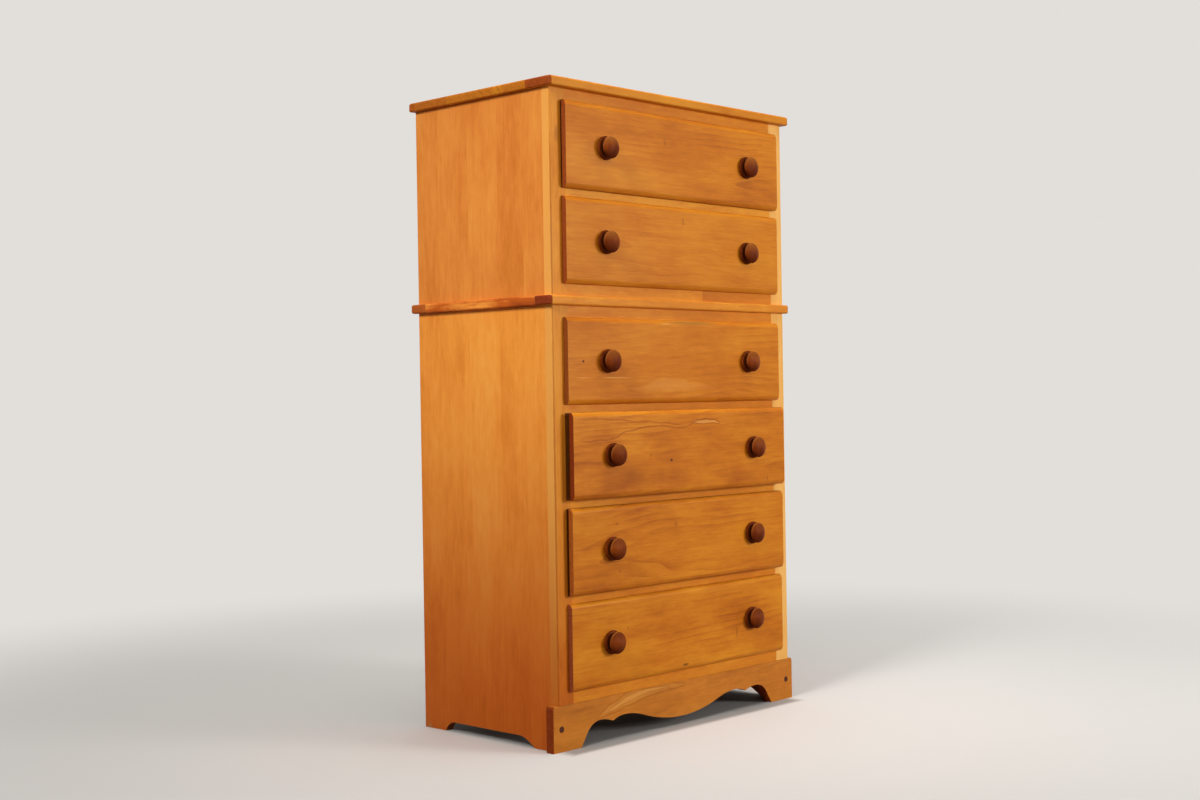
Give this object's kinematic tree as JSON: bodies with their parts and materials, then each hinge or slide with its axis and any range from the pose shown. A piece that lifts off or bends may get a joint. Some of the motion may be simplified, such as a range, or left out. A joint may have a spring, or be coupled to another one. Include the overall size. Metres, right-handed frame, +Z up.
{
  "type": "chest on chest",
  "caption": "Chest on chest: a shallow upper case on a waist frame over a taller case, with lipped dovetailed drawers, turned wooden knobs and a scalloped apron.",
  "frame": {"origin": "on the floor, at the middle of the overall footprint at rest, knobs and top slab included", "axes": "+Z up, the drawer fronts face -Y, +X to the right as seen by someone facing the drawers"},
  "size_m": [0.765, 0.461, 1.322],
  "materials": {
    "side_maple": "satin varnish on orange-toned maple, vertical grain",
    "top_maple": "satin varnish on maple, grain along the width",
    "frame_maple": "satin varnish on maple",
    "waist_maple": "satin varnish on maple",
    "front_maple": "satin varnish on golden maple, horizontal grain",
    "apron_maple": "satin varnish on maple, horizontal grain",
    "plug_wood": "satin varnish on face-grain plugs",
    "knob_stain": "semi-gloss dark red-brown stain on turned wood",
    "drawer_wood": "bare pale hardwood",
    "drawer_plywood": "bare plywood",
    "back_plywood": "unfinished plywood",
    "runner_wood": "bare hardwood, waxed by use"
  },
  "bodies": {
    "case": {"top_panel": "top_maple", "upper_left_side": "side_maple", "upper_right_side": "side_maple", "upper_left_stile": "frame_maple", "upper_right_stile": "frame_maple", "upper_top_rail": "frame_maple", "upper_middle_rail": "frame_maple", "upper_bottom_rail": "frame_maple", "upper_runners": "runner_wood", "upper_back_panel": "back_plywood", "waist_front_rail": "waist_maple", "waist_back_rail": "waist_maple", "waist_side_rails": "waist_maple", "lower_left_side": "side_maple", "lower_right_side": "side_maple", "lower_left_stile": "frame_maple", "lower_right_stile": "frame_maple", "lower_top_rail": "frame_maple", "lower_middle_rails": "frame_maple", "lower_bottom_rail": "frame_maple", "lower_runners": "runner_wood", "lower_back_panel": "back_plywood", "apron": "apron_maple", "apron_plugs": "plug_wood"},
    "drawer_1": {"drawer_1_front": "front_maple", "drawer_1_left_side": "drawer_wood", "drawer_1_right_side": "drawer_wood", "drawer_1_back": "drawer_wood", "drawer_1_bottom": "drawer_plywood", "drawer_1_knobs": "knob_stain"},
    "drawer_2": {"drawer_2_front": "front_maple", "drawer_2_left_side": "drawer_wood", "drawer_2_right_side": "drawer_wood", "drawer_2_back": "drawer_wood", "drawer_2_bottom": "drawer_plywood", "drawer_2_knobs": "knob_stain"},
    "drawer_3": {"drawer_3_front": "front_maple", "drawer_3_left_side": "drawer_wood", "drawer_3_right_side": "drawer_wood", "drawer_3_back": "drawer_wood", "drawer_3_bottom": "drawer_plywood", "drawer_3_knobs": "knob_stain"},
    "drawer_4": {"drawer_4_front": "front_maple", "drawer_4_left_side": "drawer_wood", "drawer_4_right_side": "drawer_wood", "drawer_4_back": "drawer_wood", "drawer_4_bottom": "drawer_plywood", "drawer_4_knobs": "knob_stain"},
    "drawer_5": {"drawer_5_front": "front_maple", "drawer_5_left_side": "drawer_wood", "drawer_5_right_side": "drawer_wood", "drawer_5_back": "drawer_wood", "drawer_5_bottom": "drawer_plywood", "drawer_5_knobs": "knob_stain"},
    "drawer_6": {"drawer_6_front": "front_maple", "drawer_6_left_side": "drawer_wood", "drawer_6_right_side": "drawer_wood", "drawer_6_back": "drawer_wood", "drawer_6_bottom": "drawer_plywood", "drawer_6_knobs": "knob_stain"}
  },
  "joints": [
    {"name": "drawer_1_slide", "type": "slide", "parent": "case", "child": "drawer_1", "axis": [0, -1, 0], "range_m": [-0.0035, 0.2965]},
    {"name": "drawer_2_slide", "type": "slide", "parent": "case", "child": "drawer_2", "axis": [0, -1, 0], "range_m": [-0.001, 0.299]},
    {"name": "drawer_3_slide", "type": "slide", "parent": "case", "child": "drawer_3", "axis": [0, -1, 0], "range_m": [-0.0005, 0.2995]},
    {"name": "drawer_4_slide", "type": "slide", "parent": "case", "child": "drawer_4", "axis": [0, -1, 0], "range_m": [-0.012, 0.288]},
    {"name": "drawer_5_slide", "type": "slide", "parent": "case", "child": "drawer_5", "axis": [0, -1, 0], "range_m": [-0.006, 0.294]},
    {"name": "drawer_6_slide", "type": "slide", "parent": "case", "child": "drawer_6", "axis": [0, -1, 0], "range_m": [-0.0005, 0.2995]}
  ]
}
